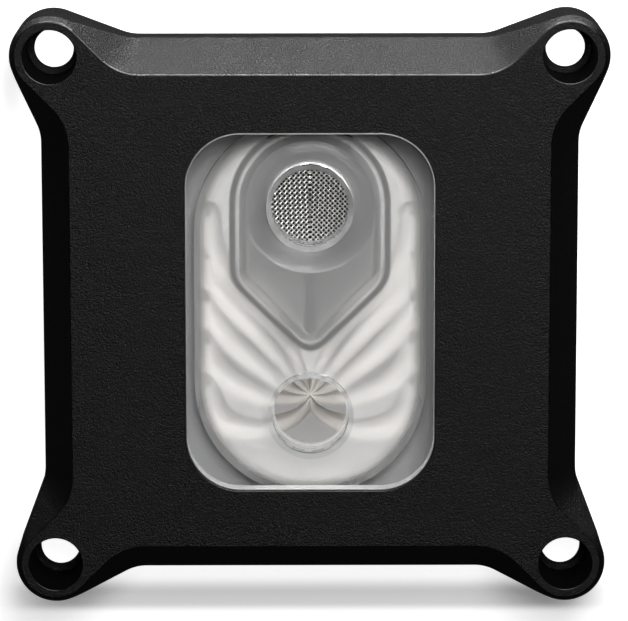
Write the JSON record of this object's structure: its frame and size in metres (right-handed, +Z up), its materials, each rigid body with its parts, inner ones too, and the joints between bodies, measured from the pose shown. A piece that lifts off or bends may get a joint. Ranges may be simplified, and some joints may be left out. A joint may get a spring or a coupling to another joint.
{
  "type": "cpu water block",
  "caption": "Square liquid cooling block with a black framed clear window, an inlet and an outlet port, and a finned plate below.",
  "frame": {"origin": "centre of the cold plate's contact face, which the block rests on", "axes": "+Z up out of the ports, +Y towards the inlet port, +X to the right as seen from above"},
  "size_m": [0.0902, 0.0902, 0.0158],
  "materials": {
    "frame_black": "bead-blasted, black anodised",
    "window_clear": "clear acrylic, polished outside and satin inside",
    "guide_frosted": "frosted acrylic, milled",
    "divider_grey": "grey silicone",
    "filter_steel": "stainless, woven wire",
    "seal_black": "black rubber",
    "plate_nickel": "nickel plate over copper, fine ground",
    "screw_black": "blackened steel"
  },
  "bodies": {
    "root": {"top_frame": "frame_black", "window_block": "window_clear", "flow_guide": "guide_frosted", "divider_seal": "divider_grey", "filter_mesh": "filter_steel", "filter_ring": "filter_steel", "base_seal": "seal_black", "cold_plate": "plate_nickel", "plate_screw_01": "screw_black", "plate_screw_02": "screw_black", "plate_screw_03": "screw_black", "plate_screw_04": "screw_black", "plate_screw_05": "screw_black", "plate_screw_06": "screw_black", "plate_screw_07": "screw_black", "plate_screw_08": "screw_black", "plate_screw_09": "screw_black", "plate_screw_10": "screw_black", "plate_screw_11": "screw_black", "plate_screw_12": "screw_black"}
  },
  "joints": []
}
